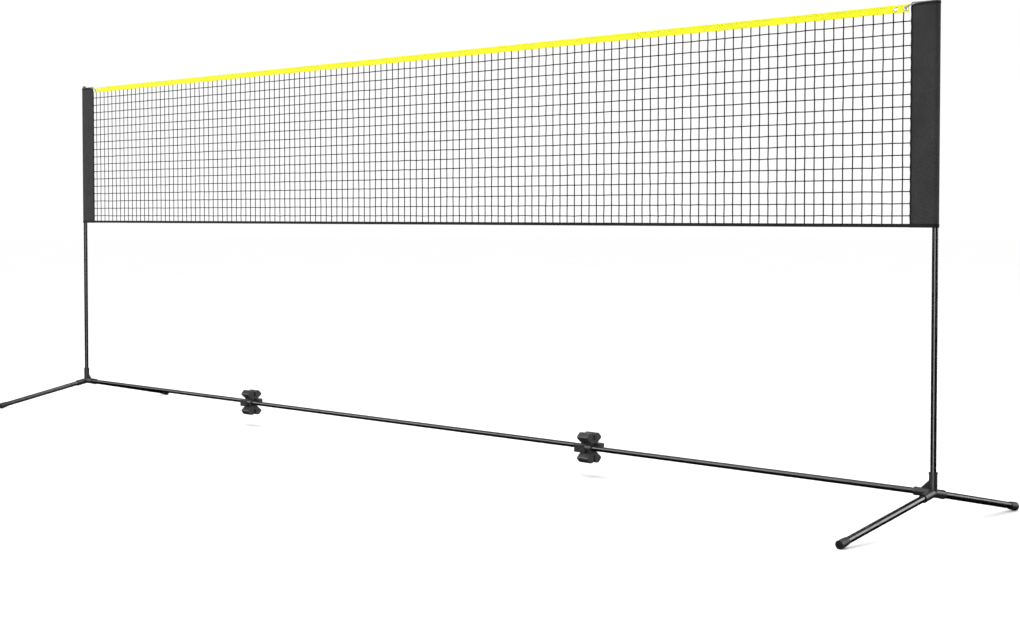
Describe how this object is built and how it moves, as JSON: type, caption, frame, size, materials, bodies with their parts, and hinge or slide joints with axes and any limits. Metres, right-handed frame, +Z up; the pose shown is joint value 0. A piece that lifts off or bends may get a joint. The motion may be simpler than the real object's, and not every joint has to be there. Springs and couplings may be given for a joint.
{
  "type": "portable net",
  "caption": "Free-standing portable court net: posts on splayed legs, sliding overlapped crossbar in clips, telescoping posts in fabric sleeves, square mesh with a bright top tape.",
  "frame": {"origin": "on the floor under the middle of the crossbar", "axes": "+X along the crossbar towards the right-hand post, +Y towards the back, +Z up"},
  "size_m": [5.1732, 1.041, 1.647],
  "materials": {
    "tube_paint": "gloss",
    "thin_tube": "gloss",
    "moulding": "satin",
    "clip_plastic": "satin",
    "guide_plastic": "matte",
    "foot_rubber": "matte",
    "sleeve_fabric": "matte",
    "net_twine": "matte",
    "top_tape": "matte",
    "bottom_tape": "matte",
    "grommet_metal": "polished",
    "tie_cord": "matte"
  },
  "bodies": {
    "crossbar_middle": {"middle_bar_left": "tube_paint", "middle_bar_centre": "tube_paint", "middle_bar_right": "tube_paint", "middle_cap_left": "clip_plastic", "middle_cap_right": "clip_plastic", "left_clip": "clip_plastic", "right_clip": "clip_plastic"},
    "left_base": {"left_connector": "moulding", "left_lower_post": "tube_paint", "left_post_bush": "guide_plastic", "left_front_leg": "tube_paint", "left_front_foot": "foot_rubber", "left_back_leg": "tube_paint", "left_back_foot": "foot_rubber", "left_outer_bar": "tube_paint", "left_inner_bar": "tube_paint", "left_bar_cap": "clip_plastic"},
    "left_mast": {"left_upper_post": "thin_tube", "left_post_plug": "guide_plastic", "left_top_cap": "moulding", "left_sleeve": "sleeve_fabric", "left_net": "net_twine", "left_bottom_tape": "bottom_tape", "left_top_tape": "top_tape", "left_grommets": "grommet_metal", "left_tie": "tie_cord"},
    "right_base": {"right_connector": "moulding", "right_lower_post": "tube_paint", "right_post_bush": "guide_plastic", "right_front_leg": "tube_paint", "right_front_foot": "foot_rubber", "right_back_leg": "tube_paint", "right_back_foot": "foot_rubber", "right_outer_bar": "tube_paint", "right_inner_bar": "tube_paint", "right_bar_cap": "clip_plastic"},
    "right_mast": {"right_upper_post": "thin_tube", "right_post_plug": "guide_plastic", "right_top_cap": "moulding", "right_sleeve": "sleeve_fabric", "right_net": "net_twine", "right_bottom_tape": "bottom_tape", "right_top_tape": "top_tape", "right_grommets": "grommet_metal", "right_tie": "tie_cord"},
    "net_middle": {"centre_net": "net_twine", "centre_top_tape": "top_tape", "centre_bottom_tape": "bottom_tape"}
  },
  "joints": [
    {"name": "left_width", "type": "slide", "parent": "crossbar_middle", "child": "left_base", "axis": [1, 0, 0], "range_m": [0, 1.067], "deforming": ["left_net", "left_top_tape", "left_bottom_tape"]},
    {"name": "right_width", "type": "slide", "parent": "crossbar_middle", "child": "right_base", "axis": [-1, 0, 0], "range_m": [0, 1.067], "deforming": ["right_net", "right_top_tape", "right_bottom_tape"]},
    {"name": "left_height", "type": "slide", "parent": "left_base", "child": "left_mast", "axis": [0, 0, -1], "range_m": [0, 0.687]},
    {"name": "right_height", "type": "slide", "parent": "right_base", "child": "right_mast", "axis": [0, 0, -1], "range_m": [0, 0.687]},
    {"name": "net_height", "type": "slide", "parent": "crossbar_middle", "child": "net_middle", "axis": [0, 0, -1], "range_m": [0, 0.687]}
  ],
  "couplings": [
    {"joint": "right_height", "follows": "left_height", "ratio": 1},
    {"joint": "net_height", "follows": "left_height", "ratio": 1}
  ]
}
